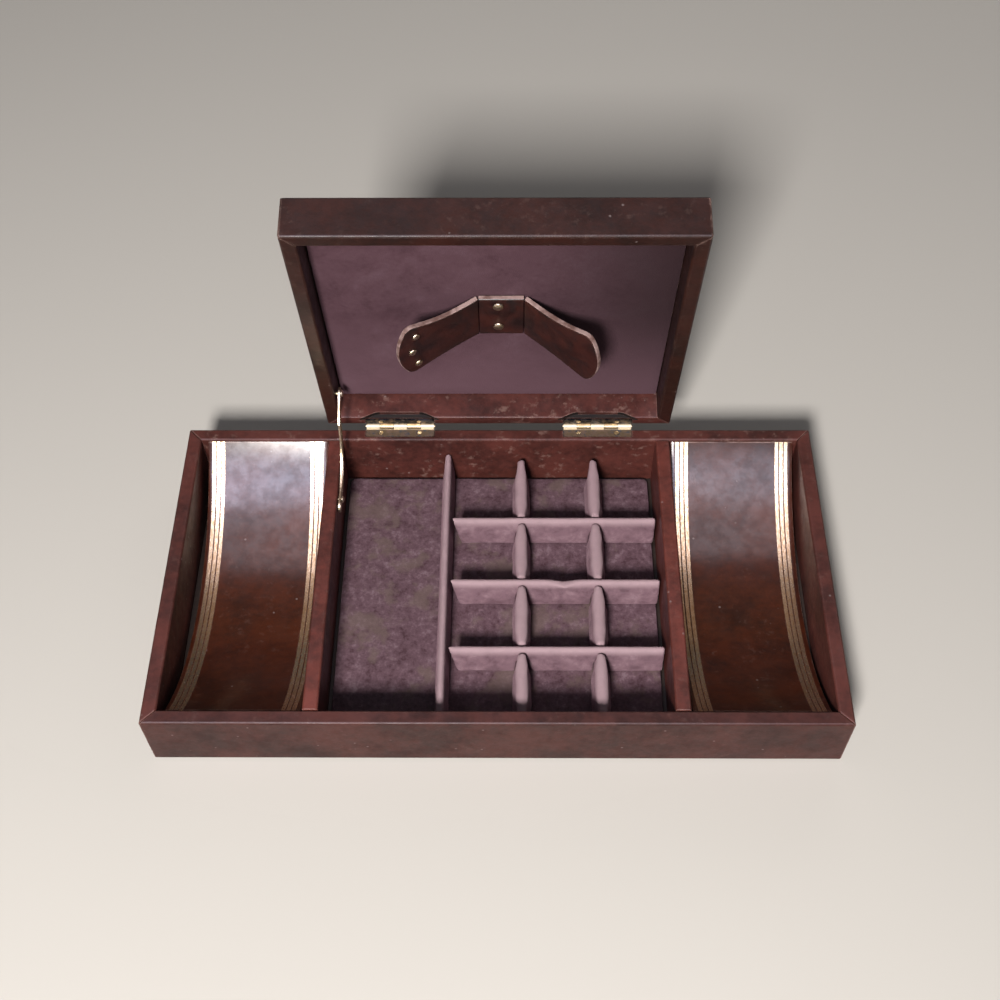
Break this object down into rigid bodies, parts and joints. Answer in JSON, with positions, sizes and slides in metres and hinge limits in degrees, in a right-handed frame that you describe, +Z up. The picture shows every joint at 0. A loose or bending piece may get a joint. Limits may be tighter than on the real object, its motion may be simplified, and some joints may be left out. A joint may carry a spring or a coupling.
{
  "type": "valet box",
  "caption": "Leather-covered valet box with curved side trays, a hinged lid on a slotted stay, and a lift-out grid of small cells.",
  "frame": {"origin": "centre of the underside of the base, on the surface that the box stands on", "axes": "+X along the length to the right, +Y from front to back, +Z up"},
  "size_m": [0.356, 0.2097, 0.2298],
  "materials": {
    "leather": "dark brown leather, semi-gloss, worn edges",
    "trough_leather": "polished reddish-brown leather with fine gold-tooled lines",
    "velvet": "mauve velvet, mottled nap",
    "strip_velvet": "mauve velvet over card",
    "strap_leather": "very dark brown leather with pale cut edges",
    "board": "plain thin board",
    "felt": "brown felt",
    "brass": "lightly aged brass"
  },
  "bodies": {
    "base": {"base_felt": "felt", "bottom_board": "board", "front_wall": "leather", "back_wall": "leather", "left_wall": "leather", "right_wall": "leather", "left_partition": "leather", "right_partition": "leather", "left_trough": "trough_leather", "right_trough": "trough_leather", "floor_pad": "velvet", "long_divider": "strip_velvet", "left_hinge_base_leaf": "brass", "right_hinge_base_leaf": "brass", "left_hinge_pin": "brass", "right_hinge_pin": "brass", "left_base_leaf_screw_1": "brass", "left_base_leaf_screw_2": "brass", "right_base_leaf_screw_1": "brass", "right_base_leaf_screw_2": "brass", "stay_base_pin": "brass"},
    "lid": {"lid_panel": "leather", "lid_front_wall": "leather", "lid_back_wall": "leather", "lid_left_wall": "leather", "lid_right_wall": "leather", "lid_lining": "velvet", "left_hinge_lid_leaf": "brass", "right_hinge_lid_leaf": "brass", "left_lid_leaf_screw_1": "brass", "left_lid_leaf_screw_2": "brass", "right_lid_leaf_screw_1": "brass", "right_lid_leaf_screw_2": "brass", "stay_lid_pin": "brass", "strap_plate": "strap_leather", "strap_rivet_upper": "brass", "strap_rivet_lower": "brass"},
    "stay": {"stay_arm": "brass"},
    "strap_wing_left": {"strap_wing_left": "strap_leather", "wing_rivet_1": "brass", "wing_rivet_2": "brass", "wing_rivet_3": "brass"},
    "strap_wing_right": {"strap_wing_right": "strap_leather"},
    "divider_grid": {"column_strip_1": "strip_velvet", "column_strip_2": "strip_velvet", "row_strip_1": "strip_velvet", "row_strip_2": "strip_velvet", "row_strip_3": "strip_velvet"}
  },
  "joints": [
    {"name": "lid_hinge", "type": "hinge", "parent": "base", "child": "lid", "pos_m": [0, 0.0952, 0.0411], "axis": [1, 0, 0], "range_deg": [0, 78]},
    {"name": "stay_pivot", "type": "hinge", "parent": "lid", "child": "stay", "pos_m": [-0.0882, 0.09303, 0.07294], "axis": [1, 0, 0], "range_deg": [-84.6, 0]},
    {"name": "left_wing_fold", "type": "hinge", "parent": "lid", "child": "strap_wing_left", "pos_m": [-0.00925, 0.08491, 0.14289], "axis": [0, -0.2079, 0.9781], "range_deg": [-30, 12]},
    {"name": "right_wing_fold", "type": "hinge", "parent": "lid", "child": "strap_wing_right", "pos_m": [0.01365, 0.08491, 0.14289], "axis": [0, 0.2079, -0.9781], "range_deg": [-15.1, 0]},
    {"name": "grid_lift", "type": "slide", "parent": "base", "child": "divider_grid", "axis": [0, 0, 1], "range_m": [0, 0.065]}
  ],
  "couplings": [
    {"joint": "stay_pivot", "follows": "lid_hinge", "ratio": -1.0832},
    {"joint": "right_wing_fold", "follows": "lid_hinge", "ratio": -0.19231}
  ]
}
